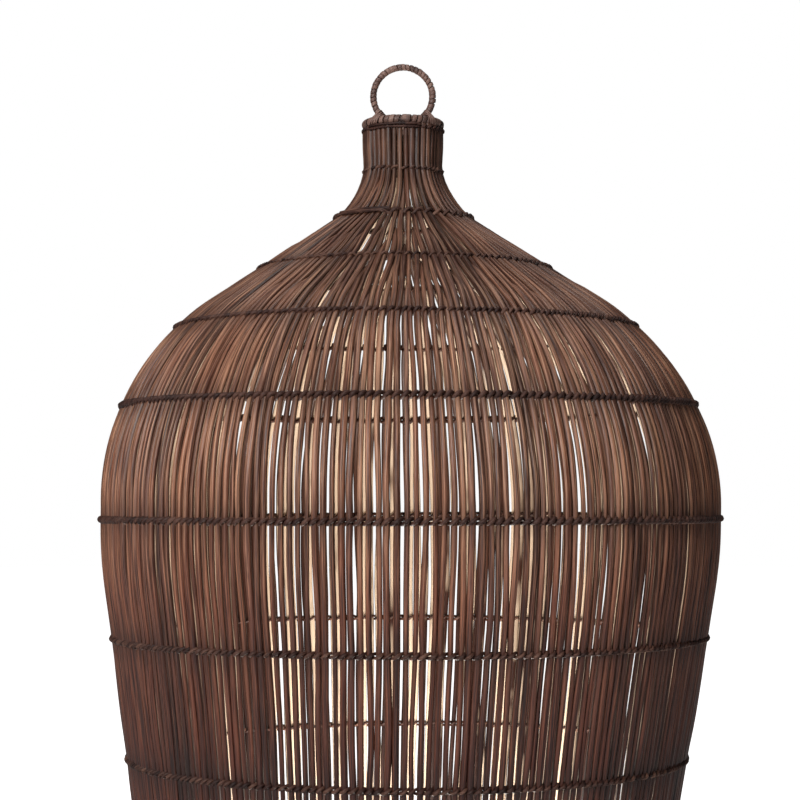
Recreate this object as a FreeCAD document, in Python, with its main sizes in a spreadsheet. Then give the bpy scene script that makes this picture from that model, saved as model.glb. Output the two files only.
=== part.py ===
"""Hand-twined wicker pendant shade: a bell of upright rods with a bound rim, a hanging ring and a foot hoop.

Millimetres, +Z up, origin at the middle of the foot on the surface that it can rest on. The front is -Y.
Thirty rods run from the rim to the foot, and the rods are doubled three times on the way down, wherever
the bell has grown wide enough to take a new rod between every two. Ten rows of twine, each an outer and
an inner strand, hold them. A wrapped ring is lashed to the front half of the rim and can tilt there.
"""
import FreeCAD, Part
import math
import os

import Sketcher

# alias, value in mm, degrees or pieces, and what it is
SIZES = [
    ("rods_at_rim", 30, "rods that run the whole way, doubled at each of the three insertions"),
    ("rod_diameter", 4.5, "stained willow rod"),
    ("rod_gap", 0.2, "least gap between two rods where a new one starts"),
    ("neck_radius", 30.0, "rod centres on the neck"),
    ("neck_length", 63.0, "rim hoop centre above the corner of neck and shoulder"),
    ("shoulder_corner_height", 587.8, "corner where the neck line meets the shoulder line"),
    ("shoulder_slope", 33.5, "shoulder below the horizontal, degrees"),
    ("flare_radius", 62.0, "hollow curve from neck to shoulder"),
    ("belly_radius", 247.0, "rod centres at the widest point"),
    ("dome_radius", 194.0, "round curve from shoulder to belly"),
    ("belly_straight", 10.0, "upright run between the two belly curves"),
    ("belly_curve_radius", 373.0, "slow curve below the belly"),
    ("skirt_slope", 8.8, "skirt from the vertical, degrees"),
    ("foot_bend_height", 24.0, "where the skirt line turns upright for the foot hoops"),
    ("foot_bend_radius", 60.0, "curve of that turn"),
    ("rod_end_lift", 1.0, "rod ends above the underside of the foot hoops"),
    ("strand_diameter", 2.2, "one strand of a twined row"),
    ("fit_gap", 0.3, "between strands, rods and rim"),
    ("row_b_distance", 32.8, "second row below the rod tops, along the rods"),
    ("row_c_distance", 80.5, "third row, likewise"),
    ("row_d_distance", 157.0, "fourth row, likewise"),
    ("row_e_distance", 239.5, "fifth row, likewise"),
    ("row_a_drop", 0.9, "first row below the rod tops"),
    ("foot_row_height", 45.0, "last row above the ground"),
    ("hoop_diameter", 5.8, "rim hoop"),
    ("binding_wall", 0.6, "strip wound over the rim hoop"),
    ("binding_gap", 0.1, "between a wrap and what it covers"),
    ("ring_radius", 23.9, "middle of the hanging ring's stock"),
    ("ring_core_diameter", 4.0, "cane inside the hanging ring"),
    ("ring_wrap_wall", 0.55, "strip wound over the ring"),
    ("ring_setback", 16.6, "ring plane in front of the axis"),
    ("ring_rise", 20.5, "ring centre above the rim hoop"),
    ("lash_room", 2.2, "between the bound rim and the rod tops, where the lashings pass"),
    ("lash_turns", 3, "turns of strip in a lashing"),
    ("lash_strip_width", 1.2, "one turn"),
    ("lash_strip_wall", 0.8, "one turn"),
    ("lash_pitch", 1.6, "from turn to turn"),
    ("lash_slack", 1.3, "round the ring, so that it can tilt"),
    ("foot_hoop_height", 14.0, "both foot hoops"),
    ("foot_hoop_wall", 3.0, "both foot hoops"),
    ("foot_fit", 0.15, "between rods and foot hoops"),
    ("tack_diameter", 1.6, "pin of a foot tack"),
    ("tack_hole_gap", 0.1, "hole over pin, on the radius"),
    ("tack_head_diameter", 4.0, "head of a foot tack"),
    ("tack_head_thickness", 0.8, "head of a foot tack"),
]
# rows F to I, as shares of the rod between the fifth row and the last
SKIRT_ROWS = (("f", 0.170), ("g", 0.369), ("h", 0.575), ("i", 0.785))

doc = FreeCAD.newDocument("wicker_pendant_shade")
sheet = doc.addObject("Spreadsheet::Sheet", "sizes")
kept = []


def add_size(row, alias, value, meaning):
    sheet.set(f"A{row}", alias)
    sheet.set(f"B{row}", str(value))
    sheet.set(f"C{row}", meaning)
    sheet.setAlias(f"B{row}", alias)


for row_number, (name, value, meaning) in enumerate(SIZES, start=1):
    add_size(row_number, name, value, meaning)
doc.recompute()


def size(alias):
    return float(sheet.get(alias))


def keep(part, label):
    part.Label = label
    kept.append(part)
    return part


def add_worked_out(alias, value, meaning):
    """A size that follows from the driving ones goes on the sheet too, for the parts that are bound to it."""
    add_worked_out.row += 1
    add_size(add_worked_out.row, alias, round(value, 4), meaning)


add_worked_out.row = len(SIZES) + 1


def tangent_length(radius, turn):
    return radius * math.tan(turn / 2)


# ---- the line that every rod follows, as (radius, height) -----------------------------------------

neck_radius = size("neck_radius")
belly_radius = size("belly_radius")
rod_radius = size("rod_diameter") / 2
strand_radius = size("strand_diameter") / 2
shoulder_slope = math.radians(size("shoulder_slope"))
skirt_slope = math.radians(size("skirt_slope"))
rim_height = size("shoulder_corner_height") + size("neck_length")
binding_radius = size("hoop_diameter") / 2 + size("binding_gap") + size("binding_wall")
rod_top = rim_height - binding_radius - size("lash_room")
dome_corner_height = size("shoulder_corner_height") - (belly_radius - neck_radius) * math.tan(shoulder_slope)
dome_foot_height = dome_corner_height - tangent_length(size("dome_radius"), math.pi / 2 - shoulder_slope)
belly_corner_height = (
    dome_foot_height - size("belly_straight") - tangent_length(size("belly_curve_radius"), skirt_slope)
)
foot_radius = belly_radius - (belly_corner_height - size("foot_bend_height")) * math.tan(skirt_slope)

CORNERS = [
    (neck_radius, rod_top, 0.0),
    (neck_radius, size("shoulder_corner_height"), size("flare_radius")),
    (belly_radius, dome_corner_height, size("dome_radius")),
    (belly_radius, belly_corner_height, size("belly_curve_radius")),
    (foot_radius, size("foot_bend_height"), size("foot_bend_radius")),
    (foot_radius, size("rod_end_lift"), 0.0),
]


def rod_line():
    """Edges of the whole line from rim to foot in the XZ plane: straight runs joined by tangent arcs."""
    points = [FreeCAD.Vector(r, 0, z) for r, z, _ in CORNERS]
    edges, start = [], points[0]
    for before, corner, after, (_, _, radius) in zip(points, points[1:], points[2:], CORNERS[1:]):
        towards, away = (before - corner).normalize(), (after - corner).normalize()
        turn = math.pi - towards.getAngle(away)
        reach = tangent_length(radius, turn)
        centre_line = (towards + away).normalize()
        middle = corner + centre_line * (radius / math.cos(turn / 2) - radius)
        arc_start, arc_end = corner + towards * reach, corner + away * reach
        edges.append(Part.LineSegment(start, arc_start).toShape())
        edges.append(Part.Arc(arc_start, middle, arc_end).toShape())
        start = arc_end
    edges.append(Part.LineSegment(start, points[-1]).toShape())
    return edges


LINE = rod_line()
LINE_LENGTH = sum(edge.Length for edge in LINE)


def at_distance(distance):
    """Point and downward direction on the line, so far along it from the rod tops."""
    for edge in LINE:
        if distance <= edge.Length:
            parameter = edge.getParameterByLength(distance)
            return edge.valueAt(parameter), edge.tangentAt(parameter)
        distance -= edge.Length
    return LINE[-1].valueAt(LINE[-1].LastParameter), LINE[-1].tangentAt(LINE[-1].LastParameter)


def distance_where(reached):
    """Distance along the line to the first point for which reached(point) holds, by halving."""
    low, high = 0.0, LINE_LENGTH
    while high - low > 0.001:
        middle = (low + high) / 2
        if reached(at_distance(middle)[0]):
            high = middle
        else:
            low = middle
    return high


# ---- rods ----------------------------------------------------------------------------------------


def around(shape, count, first_angle):
    """Copies of a shape evenly round the axis, as one compound of separate solids."""
    copies = []
    for index in range(count):
        copy = shape.copy()
        copy.rotate(FreeCAD.Vector(), FreeCAD.Vector(0, 0, 1), first_angle + index * 360.0 / count)
        copies.append(copy)
    return Part.makeCompound(copies)


def rod_from(distance):
    """One rod that follows the line from a given distance below the rod tops down to the foot."""
    edges, passed = [], 0.0
    for edge in LINE:
        if passed + edge.Length > distance + 0.001:
            first = edge.FirstParameter
            if passed < distance:
                first = edge.getParameterByLength(distance - passed)
            edges.append(edge.Curve.toShape(first, edge.LastParameter))
        passed += edge.Length
    path = Part.Wire(edges)
    start, direction = at_distance(distance)
    section = Part.Wire(Part.makeCircle(rod_radius, start, direction))
    rod = path.makePipe(Part.Face(section))
    expected = math.pi * rod_radius**2 * path.Length
    assert abs(rod.Volume - expected) < 0.002 * expected, "a rod's sweep lost its section"
    return rod


def tack_axis_height():
    return size("foot_hoop_height") / 2


def add_rods():
    """The rods from the rim, with their tack holes, and the three insertions, each half a space round.

    The last insertion is as many rods as all the others together, so it is two parts of every other rod.
    """
    count = int(size("rods_at_rim"))
    whole_rod = rod_from(0.0)
    hole_radius = size("tack_diameter") / 2 + size("tack_hole_gap")
    hole = Part.makeCylinder(
        hole_radius,
        4 * rod_radius,
        FreeCAD.Vector(foot_radius - 2 * rod_radius, 0, tack_axis_height()),
        FreeCAD.Vector(1, 0, 0),
    )
    rods = doc.addObject("Part::Feature", "rods_from_rim")
    rods.Shape = around(whole_rod.cut(hole), count, -90.0)
    keep(rods, "rods_from_rim")
    for labels in (
        ("rods_added_below_neck",),
        ("rods_added_on_shoulder",),
        ("first_rods_added_on_dome", "second_rods_added_on_dome"),
    ):
        start_radius = 2 * count * (size("rod_diameter") + size("rod_gap")) / (2 * math.pi)
        new_rod = rod_from(distance_where(lambda point: point.x >= start_radius))
        for index, label in enumerate(labels):
            rods = doc.addObject("Part::Feature", label)
            first_angle = -90.0 + 180.0 / count + index * 360.0 / count
            rods.Shape = around(new_rod, count // len(labels), first_angle)
            keep(rods, label)
        count *= 2


# ---- twined rows ---------------------------------------------------------------------------------


def row_distances():
    """Each row's letter and distance below the rod tops along the rods."""
    rows = [("a", size("row_a_drop"))]
    rows += [(letter, size(f"row_{letter}_distance")) for letter in "bcde"]
    first, last = rows[-1][1], distance_where(lambda point: point.z <= size("foot_row_height"))
    rows += [(letter, first + share * (last - first)) for letter, share in SKIRT_ROWS]
    return rows + [("j", last)]


def torus(name, ring, section, height):
    """A ring round the axis, its sizes bound to the sheet by the expressions given."""
    part = doc.addObject("Part::Torus", name)
    part.setExpression("Radius1", ring)
    part.setExpression("Radius2", section)
    part.setExpression("Placement.Base.z", height)
    return part


def add_rows():
    """Two strands a row, one outside and one inside the rods, each square to the rods there."""
    offset = rod_radius + size("fit_gap") + strand_radius
    for letter, distance in row_distances():
        point, down = at_distance(distance)
        outward = FreeCAD.Vector(-down.z, 0, down.x)
        for side, sign in (("outer", 1), ("inner", -1)):
            centre = point + outward * (sign * offset)
            alias = f"row_{letter}_{side}"
            add_worked_out(f"{alias}_radius", centre.x, "middle of that strand")
            add_worked_out(f"{alias}_height", centre.z, "middle of that strand")
            strand = torus(
                f"{alias}_strand", f"sizes.{alias}_radius", "sizes.strand_diameter / 2", f"sizes.{alias}_height"
            )
            keep(strand, f"row_{letter}_{side}_strand")


# ---- rim -----------------------------------------------------------------------------------------

RIM_HEIGHT = "sizes.shoulder_corner_height + sizes.neck_length"


def add_rim():
    """A cane hoop and the strip wound over it, as a thin sleeve."""
    keep(torus("rim_hoop", "sizes.neck_radius", "sizes.hoop_diameter / 2", RIM_HEIGHT), "rim_hoop")
    inside = "sizes.hoop_diameter / 2 + sizes.binding_gap"
    sleeve = doc.addObject("Part::Cut", "rim_binding")
    sleeve.Base = torus("binding_outside", "sizes.neck_radius", f"{inside} + sizes.binding_wall", RIM_HEIGHT)
    sleeve.Tool = torus("binding_inside", "sizes.neck_radius", inside, RIM_HEIGHT)
    keep(sleeve, "rim_binding")


# ---- hanging ring and its lashings -----------------------------------------------------------------

ring_section = size("ring_core_diameter") / 2 + size("binding_gap") + size("ring_wrap_wall")
ring_centre = FreeCAD.Vector(0, -size("ring_setback"), rim_height + size("ring_rise"))


def upright_torus(name, section):
    """A ring that stands across the object, in the ring's place."""
    part = doc.addObject("Part::Torus", name)
    part.setExpression("Radius1", "sizes.ring_radius")
    part.setExpression("Radius2", section)
    part.Placement = FreeCAD.Placement(FreeCAD.Vector(), FreeCAD.Rotation(FreeCAD.Vector(1, 0, 0), 90))
    part.setExpression("Placement.Base.y", "-sizes.ring_setback")
    part.setExpression("Placement.Base.z", f"{RIM_HEIGHT} + sizes.ring_rise")
    return part


def add_ring():
    """The ring's cane core and the strip wound over it."""
    core = "sizes.ring_core_diameter / 2"
    keep(upright_torus("ring_core", core), "ring_core")
    wrap = doc.addObject("Part::Cut", "ring_wrap")
    wrap.Base = upright_torus("wrap_outside", f"{core} + sizes.binding_gap + sizes.ring_wrap_wall")
    wrap.Tool = upright_torus("wrap_inside", f"{core} + sizes.binding_gap")
    keep(wrap, "ring_wrap")


def belt(centre_a, radius_a, centre_b, radius_b, normal, wall, width):
    """A closed strip stretched round two rounds in the plane that is square to normal."""
    def outline(extra):
        a, b = radius_a + extra, radius_b + extra
        along = centre_b - centre_a
        length = along.Length
        along.normalize()
        across = normal.cross(along)
        lean = math.asin((a - b) / length)
        sides = []
        for sign in (1, -1):
            foot = along * math.sin(lean) + across * (sign * math.cos(lean))
            sides.append((centre_a + foot * a, centre_b + foot * b))
        (a_left, b_left), (a_right, b_right) = sides
        return Part.Wire(
            [
                Part.LineSegment(a_left, b_left).toShape(),
                Part.Arc(b_left, centre_b + along * b, b_right).toShape(),
                Part.LineSegment(b_right, a_right).toShape(),
                Part.Arc(a_right, centre_a - along * a, a_left).toShape(),
            ]
        )

    solids = []
    for extra in (wall, 0.0):
        face = Part.Face(outline(extra))
        face.translate(normal * (-width / 2))
        solids.append(face.extrude(normal * width))
    return solids[0].cut(solids[1])


def slanted_opening(radius, normal, way):
    """Radius of the hole that lets a round of this radius pass at a slant through one turn's width."""
    slant = abs(normal.dot(way))
    return (radius + size("lash_strip_width") / 2 * math.sqrt(1 - slant**2)) / slant


def crossing(edge, normal, origin, near):
    """Where a circle passes through a plane, on the side near a point."""
    reach = 50.0
    sheet_of_plane = Part.makePlane(2 * reach, 2 * reach, origin, normal)
    sheet_of_plane.translate(origin - sheet_of_plane.CenterOfMass)
    points = [vertex.Point for vertex in edge.common(sheet_of_plane).Vertexes]
    points += [pair[0] for pair in edge.distToShape(sheet_of_plane)[1]]
    return min(points, key=lambda point: point.distanceToPoint(near))


def lash_points():
    """The points, right of the middle, where the centre lines of the rim hoop and the ring come nearest."""
    rim_centre = FreeCAD.Vector(0, 0, rim_height)
    upright, across = FreeCAD.Vector(0, 0, 1), FreeCAD.Vector(0, -1, 0)
    rim_arc = Part.makeCircle(neck_radius, rim_centre, upright, -90, 0)
    ring_circle = Part.makeCircle(size("ring_radius"), ring_centre, across)
    on_rim, on_ring = rim_arc.distToShape(ring_circle)[1][0]
    return rim_arc, ring_circle, on_rim, on_ring


def lashing_shape():
    """Right lashing: turns of strip, each round the bound rim and loosely round the ring."""
    rim_arc, ring_circle, on_rim, on_ring = lash_points()
    rim_way = FreeCAD.Vector(-on_rim.y, on_rim.x, 0).normalize()
    from_middle = on_ring - ring_centre
    ring_way = FreeCAD.Vector(-from_middle.z, 0, from_middle.x).normalize()
    normal = (rim_way + ring_way).normalize()
    rim_turn = slanted_opening(binding_radius, normal, rim_way) + size("fit_gap")
    ring_turn = slanted_opening(ring_section, normal, ring_way) + size("lash_slack")
    turns = []
    for index in range(int(size("lash_turns"))):
        shift = (index - (size("lash_turns") - 1) / 2) * size("lash_pitch")
        origin = (on_rim + on_ring) * 0.5 + normal * shift
        a = crossing(rim_arc, normal, origin, on_rim)
        b = crossing(ring_circle, normal, origin, on_ring)
        turns.append(belt(a, rim_turn, b, ring_turn, normal, size("lash_strip_wall"), size("lash_strip_width")))
    return Part.makeCompound(turns)


def add_lashings():
    right = lashing_shape()
    left = right.mirror(FreeCAD.Vector(), FreeCAD.Vector(1, 0, 0))
    for label, shape in (("right_lashing", right), ("left_lashing", left)):
        lashing = doc.addObject("Part::Feature", label)
        lashing.Shape = shape
        keep(lashing, label)


# ---- foot ----------------------------------------------------------------------------------------


def plane_of(body, role):
    return next(item for item in body.Origin.OriginFeatures if item.Role == role)


def add_sketch(body, name, role):
    sketch = body.newObject("Sketcher::SketchObject", name)
    sketch.AttachmentSupport = [(plane_of(body, role), "")]
    sketch.MapMode = "FlatFace"
    return sketch


def bind(sketch, constraint, expression):
    sketch.setExpression(f"Constraints[{constraint}]", expression)


def rectangle(sketch, left, bottom, width, height):
    """A rectangle whose place and size are bound to the four expressions."""
    corners = [FreeCAD.Vector(1, 1, 0), FreeCAD.Vector(9, 1, 0), FreeCAD.Vector(9, 5, 0), FreeCAD.Vector(1, 5, 0)]
    for start, end in zip(corners, corners[1:] + corners[:1]):
        sketch.addGeometry(Part.LineSegment(start, end), False)
    for index in range(4):
        sketch.addConstraint(Sketcher.Constraint("Coincident", index, 2, (index + 1) % 4, 1))
    for index, way in enumerate(("Horizontal", "Vertical", "Horizontal", "Vertical")):
        sketch.addConstraint(Sketcher.Constraint(way, index))
    bind(sketch, sketch.addConstraint(Sketcher.Constraint("DistanceX", -1, 1, 0, 1, 1.0)), left)
    if bottom:
        bind(sketch, sketch.addConstraint(Sketcher.Constraint("DistanceY", -1, 1, 0, 1, 1.0)), bottom)
    else:
        sketch.addConstraint(Sketcher.Constraint("PointOnObject", 0, 1, -1))
    bind(sketch, sketch.addConstraint(Sketcher.Constraint("DistanceX", 0, 1, 0, 2, 8.0)), width)
    bind(sketch, sketch.addConstraint(Sketcher.Constraint("DistanceY", 1, 1, 1, 2, 4.0)), height)


def revolve(body, sketch, axis_role):
    feature = body.newObject("PartDesign::Revolution", f"{body.Name}_turned")
    feature.Profile = sketch
    feature.ReferenceAxis = (next(i for i in body.Origin.OriginFeatures if i.Role == axis_role), [""])
    feature.Angle = 360.0
    sketch.Visibility = False
    return feature


def add_foot_hoop(label, inner_radius):
    """A flat hoop, turned from its section and drilled for the tacks."""
    body = doc.addObject("PartDesign::Body", label)
    section = add_sketch(body, f"{label}_section", "XZ_Plane")
    rectangle(section, inner_radius, None, "sizes.foot_hoop_wall", "sizes.foot_hoop_height")
    revolve(body, section, "Z_Axis")
    doc.recompute()
    full_volume = body.Shape.Volume
    hole = add_sketch(body, f"{label}_hole", "XZ_Plane")
    hole.addGeometry(Part.Circle(FreeCAD.Vector(0, 5, 0), FreeCAD.Vector(0, 0, 1), 0.9), False)
    hole.addConstraint(Sketcher.Constraint("PointOnObject", 0, 3, -2))
    bind(hole, hole.addConstraint(Sketcher.Constraint("DistanceY", -1, 1, 0, 3, 5.0)), "sizes.foot_hoop_height / 2")
    radius = hole.addConstraint(Sketcher.Constraint("Radius", 0, 0.9))
    bind(hole, radius, "sizes.tack_diameter / 2 + sizes.tack_hole_gap")
    drill = body.newObject("PartDesign::Pocket", f"{label}_drilled")
    drill.Profile = hole
    drill.setExpression("Length", f"{inner_radius} + 2 * sizes.foot_hoop_wall")
    hole.Visibility = False
    doc.recompute()
    if body.Shape.Volume > full_volume - 1.0 or body.Shape.isNull():
        drill.Reversed = True
    pattern = body.newObject("PartDesign::PolarPattern", f"{label}_holes")
    pattern.Originals = [drill]
    pattern.Axis = (plane_of(body, "Z_Axis"), [""])
    pattern.Angle = 360.0
    pattern.setExpression("Occurrences", "sizes.rods_at_rim")
    body.Tip = pattern
    doc.recompute()
    hole_radius = size("tack_diameter") / 2 + size("tack_hole_gap")
    one_hole = math.pi * hole_radius**2 * size("foot_hoop_wall")
    drilled = (full_volume - body.Shape.Volume) / one_hole
    assert abs(drilled / size("rods_at_rim") - 1) < 0.1, f"{label} has {drilled:.1f} holes"
    keep(body, label)


def add_tacks():
    """One tack turned about X, and a copy through every rod that comes from the rim."""
    body = doc.addObject("PartDesign::Body", "tack")
    add_worked_out("tack_start", foot_radius - rod_radius - size("foot_fit") - size("foot_hoop_wall"), "tack point")
    add_worked_out("tack_length", 2 * (rod_radius + size("foot_fit") + size("foot_hoop_wall")), "tack under its head")
    doc.recompute()
    for part, start, length, radius in (
        ("pin", "sizes.tack_start", "sizes.tack_length", "sizes.tack_diameter / 2"),
        ("head", "sizes.tack_start + sizes.tack_length", "sizes.tack_head_thickness", "sizes.tack_head_diameter / 2"),
    ):
        section = add_sketch(body, f"tack_{part}_section", "XZ_Plane")
        rectangle(section, start, None, length, radius)
        revolve(body, section, "X_Axis").Label = f"tack_{part}"
    body.setExpression("Placement.Base.z", "sizes.foot_hoop_height / 2")
    doc.recompute()
    tacks = doc.addObject("Part::Feature", "foot_tacks")
    tacks.Shape = around(body.Shape, int(size("rods_at_rim")), -90.0)
    keep(tacks, "foot_tacks")


def add_foot():
    add_worked_out("foot_outer_face", foot_radius + rod_radius + size("foot_fit"), "inside of the outer foot hoop")
    add_worked_out("foot_inner_face", foot_radius - rod_radius - size("foot_fit"), "outside of the inner foot hoop")
    add_tacks()
    add_foot_hoop("foot_outer_hoop", "sizes.foot_outer_face")
    add_foot_hoop("foot_inner_hoop", "(sizes.foot_inner_face - sizes.foot_hoop_wall)")


# ---- build, check and write ------------------------------------------------------------------------


def check():
    doc.recompute()
    for item in doc.Objects:
        if "Invalid" in item.State or "Error" in item.State:
            raise RuntimeError(f"{item.Label} did not build: {item.State}")
    for part in kept:
        if part.Shape.isNull() or not part.Shape.isValid() or not part.Shape.Solids:
            raise RuntimeError(f"{part.Label} has no valid shape")


def write():
    os.makedirs("parts", exist_ok=True)
    for part in kept:
        part.Shape.exportStep(f"parts/{part.Label}.step")
    whole = Part.makeCompound([part.Shape for part in kept]).BoundBox
    print(f"{len(kept)} nodes, {whole.XLength:.1f} x {whole.YLength:.1f} x {whole.ZLength:.1f} mm")
    _, _, on_rim, on_ring = lash_points()
    print(f"the ring tilts about X through y {on_ring.y:.2f}, z {on_ring.z:.2f}; lashed at {tuple(on_rim)}")


add_rods()
add_rows()
add_rim()
add_ring()
add_lashings()
add_foot()
check()
write()
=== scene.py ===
"""Looks of a hand-twined wicker pendant shade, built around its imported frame. Metres, +Z up, front is -Y."""
import math

import bmesh
import bpy
import numpy as np
from bpy.props import FloatProperty, FloatVectorProperty, IntProperty, PointerProperty
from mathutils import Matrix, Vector


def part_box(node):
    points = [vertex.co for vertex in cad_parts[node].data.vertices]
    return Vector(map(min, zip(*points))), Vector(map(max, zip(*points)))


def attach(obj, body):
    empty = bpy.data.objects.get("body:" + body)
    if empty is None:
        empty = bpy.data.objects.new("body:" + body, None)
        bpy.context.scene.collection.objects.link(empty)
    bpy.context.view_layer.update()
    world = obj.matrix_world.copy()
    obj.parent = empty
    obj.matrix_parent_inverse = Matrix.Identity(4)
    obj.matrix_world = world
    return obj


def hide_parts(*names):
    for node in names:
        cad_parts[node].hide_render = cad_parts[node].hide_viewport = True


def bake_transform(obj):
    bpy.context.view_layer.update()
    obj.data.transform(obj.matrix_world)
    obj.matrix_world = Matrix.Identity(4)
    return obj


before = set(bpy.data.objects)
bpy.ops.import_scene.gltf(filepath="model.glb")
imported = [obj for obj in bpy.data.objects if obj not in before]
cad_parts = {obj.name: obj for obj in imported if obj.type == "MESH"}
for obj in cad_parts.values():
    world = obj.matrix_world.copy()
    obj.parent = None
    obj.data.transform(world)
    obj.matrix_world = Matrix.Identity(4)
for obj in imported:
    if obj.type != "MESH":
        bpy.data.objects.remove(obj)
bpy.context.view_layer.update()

bl_info = {
    "name": "Wicker pendant shade",
    "version": (1, 0, 0),
    "blender": (4, 5, 0),
    "location": "3D View > Sidebar > Wicker shade",
    "description": "Rods, twined rows, wrapped rim, hanging ring and foot of a wicker pendant shade",
    "category": "Add Mesh",
}

MM = 0.001
TAU = 2 * math.pi
SHADE, RING = "shade", "ring"


def half_width(node):
    low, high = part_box(node)
    return (high.x - low.x) / 2


def middle(node):
    low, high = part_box(node)
    return (low + high) / 2


def thickness(node):
    low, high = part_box(node)
    return high.z - low.z


# ---- sizes and colours that a user would change ------------------------------------------------------


def length(name, description, default):
    return FloatProperty(name=name, description=description, default=default, unit="LENGTH", precision=4)


def angle(name, description, default):
    return FloatProperty(name=name, description=description, default=math.radians(default), subtype="ANGLE")


def colour(name, description, default):
    return FloatVectorProperty(name=name, description=description, default=default, subtype="COLOR", min=0, max=1)


def whole(name, description, default):
    return IntProperty(name=name, description=description, default=default)


def number(name, description, default):
    return FloatProperty(name=name, description=description, default=default)


class OutlineSettings(bpy.types.PropertyGroup):
    """The line that the rods follow from the rim to the foot."""

    neck_length: length("Neck length", "Rim hoop above the corner of neck and shoulder", 63.0 * MM)
    shoulder_slope: angle("Shoulder slope", "Shoulder below the horizontal", 33.5)
    flare_radius: length("Flare radius", "Hollow curve from neck to shoulder", 62.0 * MM)
    dome_radius: length("Dome radius", "Round curve from shoulder to belly", 194.0 * MM)
    belly_straight: length("Belly straight", "Upright run between the belly curves", 10.0 * MM)
    belly_curve: length("Belly curve", "Slow curve below the belly", 373.0 * MM)
    skirt_slope: angle("Skirt slope", "Skirt from the vertical", 8.8)
    foot_bend_height: length("Foot bend height", "Where the skirt turns upright", 24.0 * MM)
    foot_bend: length("Foot bend", "Curve of that turn", 60.0 * MM)
    bulge: length("Bulge", "How far the belly sits to the right of the neck", 6.0 * MM)


class RodSettings(bpy.types.PropertyGroup):
    """The willow rods."""

    count: whole("Rods", "Rods round the foot", 240)
    at_rim: whole("Rods at rim", "Rods that reach the rim", 40)
    radius: length("Radius", "Usual radius of a rod", 2.26 * MM)
    spread: number("Spread", "How much rods differ in radius", 0.16)
    wander: length("Wander", "How far a rod strays sideways between two rows", 0.7 * MM)
    wander_at_row: length("Wander at row", "How far a rod strays sideways where a row holds it", 0.4 * MM)
    step: length("Step", "Between two points along a rod", 7.0 * MM)
    waist: length("Waist", "How far the second row draws the neck in", 1.2 * MM)
    opening: length("Opening", "Distance over which a new rod makes its room", 75.0 * MM)
    keeping: number("Keeping", "How far new rods leave others in place", 0.75)
    sides: whole("Sides", "Faces round a rod", 8)
    # dark also paints the shade on the rods' flanks, and dirt and shade where a row holds them
    dark: colour("Dark", "Darkest stain", (0.03, 0.01, 0.006))
    usual: colour("Usual", "Usual stain", (0.23, 0.097, 0.058))
    light: colour("Light", "Worn and faded rod", (0.52, 0.3, 0.185))
    # inside is painted light, the pale colour that stands in for light seen through the gaps
    inside: colour("Inside", "Paler side that faces into the shade", (0.7, 0.55, 0.41))
    red: colour("Red", "Reddish rod", (0.24, 0.085, 0.045))
    grey: colour("Grey", "Greyed rod", (0.17, 0.092, 0.076))
    seed: whole("Seed", "Picks the rods", 7)


class TwineSettings(bpy.types.PropertyGroup):
    """The two strands of every row."""

    radius: length("Radius", "Usual radius of a strand", 1.2 * MM)
    sides: whole("Sides", "Faces round a strand", 6)
    turns_per_rod: whole("Points per rod", "Points of a strand at each rod", 6)
    sway: length("Sway", "How far a row strays up and down", 1.3 * MM)
    dark: colour("Dark", "Stain in the hollows", (0.012, 0.004, 0.003))
    usual: colour("Usual", "Usual stain", (0.045, 0.017, 0.012))
    # light is laid in patches that are partly wear and partly a painted highlight
    light: colour("Light", "Rubbed stain", (0.26, 0.135, 0.09))


class StripSettings(bpy.types.PropertyGroup):
    """Flat strip wound over the rim and the ring and through the lashings."""

    rim_turns: whole("Rim turns", "Turns of strip round the rim hoop", 44)
    ring_turns: whole("Ring turns", "Turns of strip round the ring", 44)
    thickness: length("Thickness", "Strip thickness", 0.75 * MM)
    lash_turns: whole("Lash turns", "Turns of strip in each lashing", 4)
    lash_width: length("Lash width", "Width of a turn", 1.65 * MM)
    lash_pitch: length("Lash pitch", "From turn to turn", 1.9 * MM)
    # dark is laid in random patches and towards the strip's edges, where turns meet
    dark: colour("Dark", "Stain in the grooves", (0.03, 0.013, 0.01))
    usual: colour("Usual", "Usual stain", (0.165, 0.085, 0.064))
    light: colour("Light", "Rubbed stain", (0.26, 0.165, 0.13))


class FootSettings(bpy.types.PropertyGroup):
    """Foot hoops and their tacks."""

    wall: length("Wall", "Thickness of the split cane", 3.0 * MM)
    edge: length("Edge", "Rounding of a hoop's edges", 1.2 * MM)
    scarf: angle("Scarf", "Length of the joint where a hoop's ends overlap", 14.0)
    tacks: whole("Tacks", "Tacks round the foot", 30)
    tack_head: length("Tack head", "Radius of a tack's head", 2.1 * MM)
    tack_pin: length("Tack pin", "Radius of a tack's pin", 0.8 * MM)
    wood: colour("Wood", "Stained split cane", (0.12, 0.06, 0.042))
    steel: colour("Steel", "Dull tack", (0.24, 0.215, 0.19))


class StageSettings(bpy.types.PropertyGroup):
    """Camera, lights and floor."""

    distance: length("Distance", "Camera from the axis", 1.646)
    height: length("Height", "Camera above the floor", 0.345)
    aside: length("Aside", "Camera to the left of the axis", 2.4 * MM)
    tilt: angle("Tilt", "Camera above the horizontal", 2.83)
    lens: number("Lens", "Focal length in millimetres", 91.4)
    world: number("Surroundings", "Light that the white surroundings give", 0.12)
    key: number("Key", "Power of the main light, in watts", 56.0)
    top: number("Top", "Power of the light overhead, in watts", 14.0)
    inner: number("Inner", "Power of the warm light inside the shade, in watts", 4.0)


SETTINGS = {
    "shade_outline": OutlineSettings,
    "shade_rods": RodSettings,
    "shade_twine": TwineSettings,
    "shade_strip": StripSettings,
    "shade_foot": FootSettings,
    "shade_stage": StageSettings,
}


def settings(name):
    return getattr(bpy.context.scene, "shade_" + name)


# ---- shader maths --------------------------------------------------------------------------------------


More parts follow.
